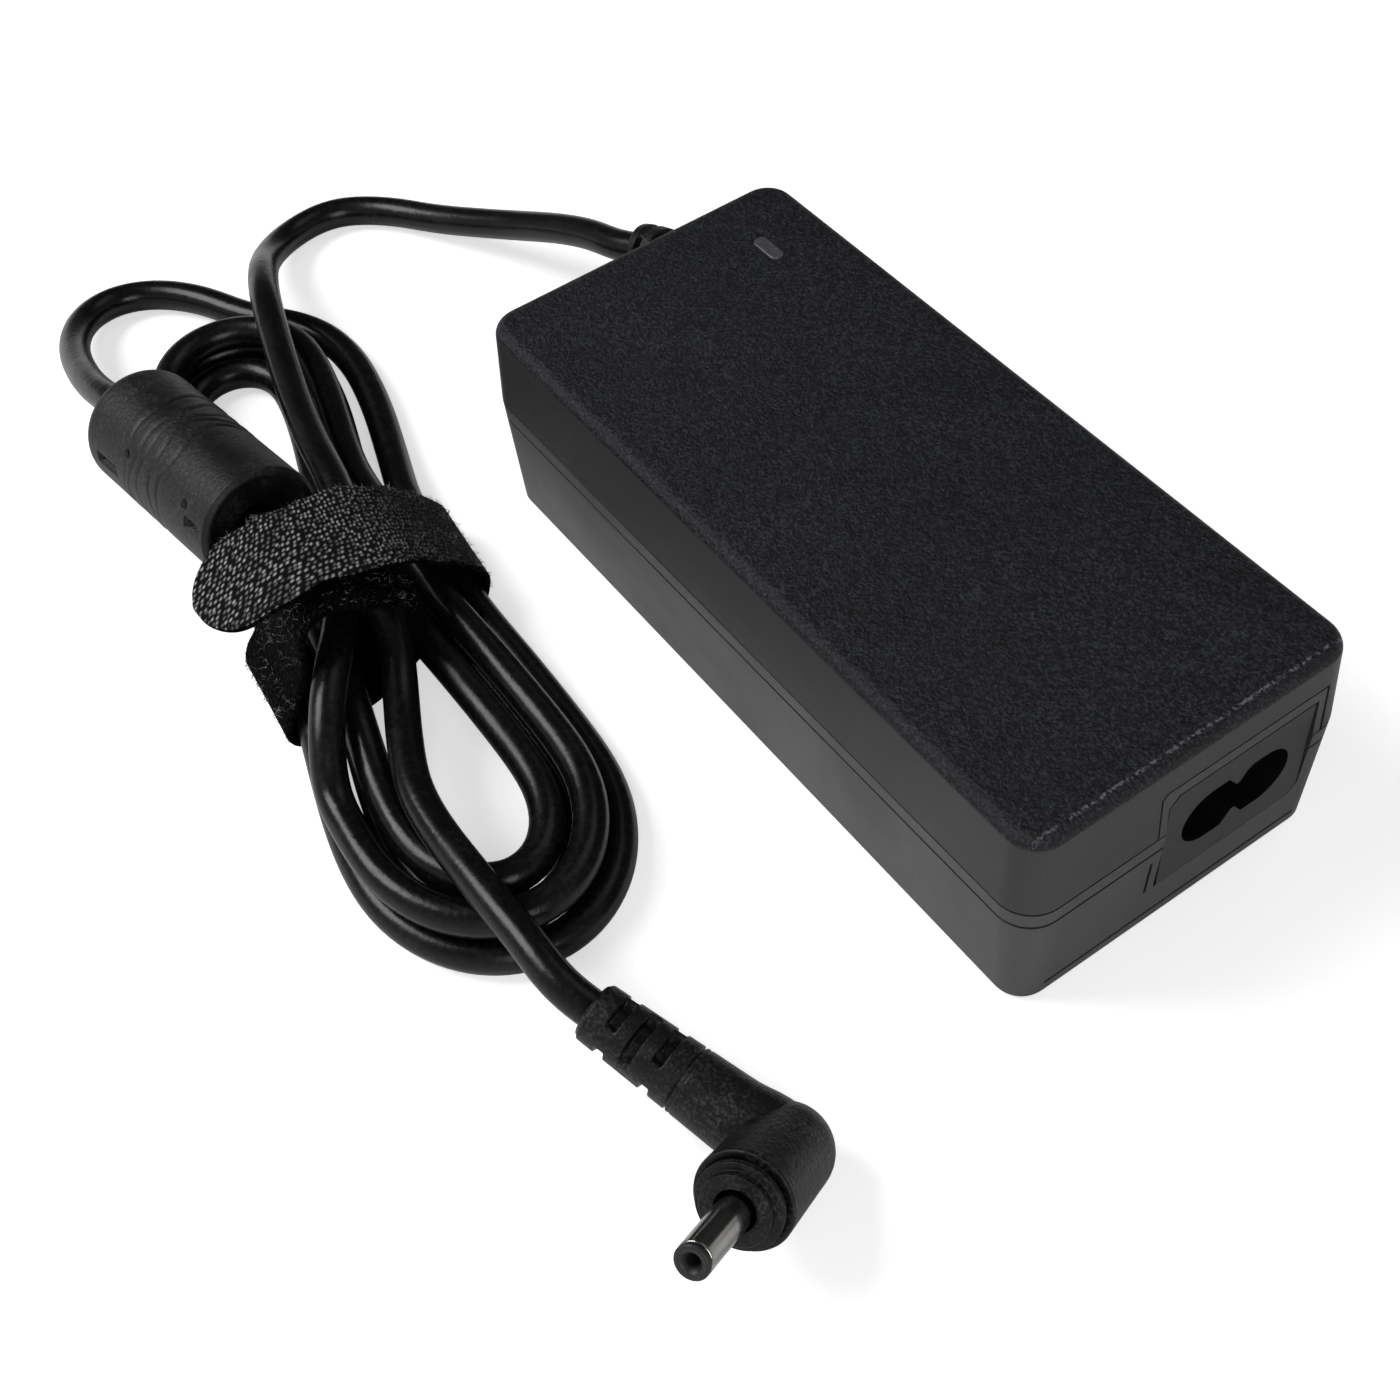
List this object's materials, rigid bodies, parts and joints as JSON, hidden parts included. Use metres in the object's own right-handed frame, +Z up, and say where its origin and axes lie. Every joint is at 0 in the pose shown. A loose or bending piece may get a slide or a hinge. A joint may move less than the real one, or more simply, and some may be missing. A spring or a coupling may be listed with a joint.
{
  "type": "laptop power adapter",
  "caption": "Brick-shaped mains adapter in two shells with a two-pole inlet, its circuit inside, and a strapped hank of output cord with a ferrite choke and an angled barrel plug.",
  "frame": {"origin": "middle of the brick's underside, on the surface that it lies on", "axes": "+Y along the brick from the mains inlet to the cord's exit, +X across it to the right seen from the inlet's end, +Z up through its thickness"},
  "size_m": [0.0994, 0.192, 0.0312],
  "materials": {
    "case_top": "fine spark-eroded black",
    "case_bottom": "fine spark-eroded black",
    "inlet_plastic": "satin black",
    "light_guide": "clear, polished",
    "laminate": "green glass-fibre laminate",
    "film": "thin insulating film",
    "aluminium": "plain sheet",
    "component_black": "epoxy and shrink sleeve",
    "component_yellow": "polyester tape",
    "component_blue": "epoxy coat",
    "copper": "enamelled copper wire",
    "ferrite": "sintered, dull",
    "red_insulation": "wire insulation",
    "nickel": "bright plated",
    "cord_rubber": "satin",
    "moulded_rubber": "satin",
    "woven_strap": "woven, light flecks"
  },
  "bodies": {
    "root": {"top_cover": "case_top", "bottom_shell": "case_bottom", "inlet_body": "inlet_plastic", "inlet_pin_left": "nickel", "inlet_pin_right": "nickel", "led_lens": "light_guide", "indicator_led": "light_guide", "circuit_board": "laminate", "upper_heat_spreader": "aluminium", "lower_heat_spreader": "aluminium", "insulation_sheet": "film", "mains_fuse": "component_black", "x_capacitor": "component_yellow", "inrush_thermistor": "component_black", "common_mode_choke": "copper", "bridge_rectifier": "component_black", "bulk_capacitor": "component_black", "transformer_core": "ferrite", "transformer_winding": "component_yellow", "primary_heat_sink": "aluminium", "primary_switch": "component_black", "output_heat_sink": "aluminium", "output_rectifier": "component_black", "controller_chip": "component_black", "optocoupler": "film", "output_capacitor_front": "component_black", "output_capacitor_rear": "component_black", "output_choke": "copper", "y_capacitor": "component_blue", "output_wire_positive": "red_insulation", "output_wire_negative": "component_black", "exit_strain_relief": "moulded_rubber", "dc_cord_lead": "cord_rubber", "dc_cord_hank": "cord_rubber", "dc_cord_choke_stretch": "cord_rubber", "dc_cord_tail": "cord_rubber", "choke_housing": "moulded_rubber", "choke_ferrite_core": "ferrite", "cable_strap": "woven_strap", "plug_body": "moulded_rubber", "plug_collar": "moulded_rubber", "plug_barrel": "nickel", "plug_contact": "nickel", "plug_insulator": "moulded_rubber"}
  },
  "joints": []
}
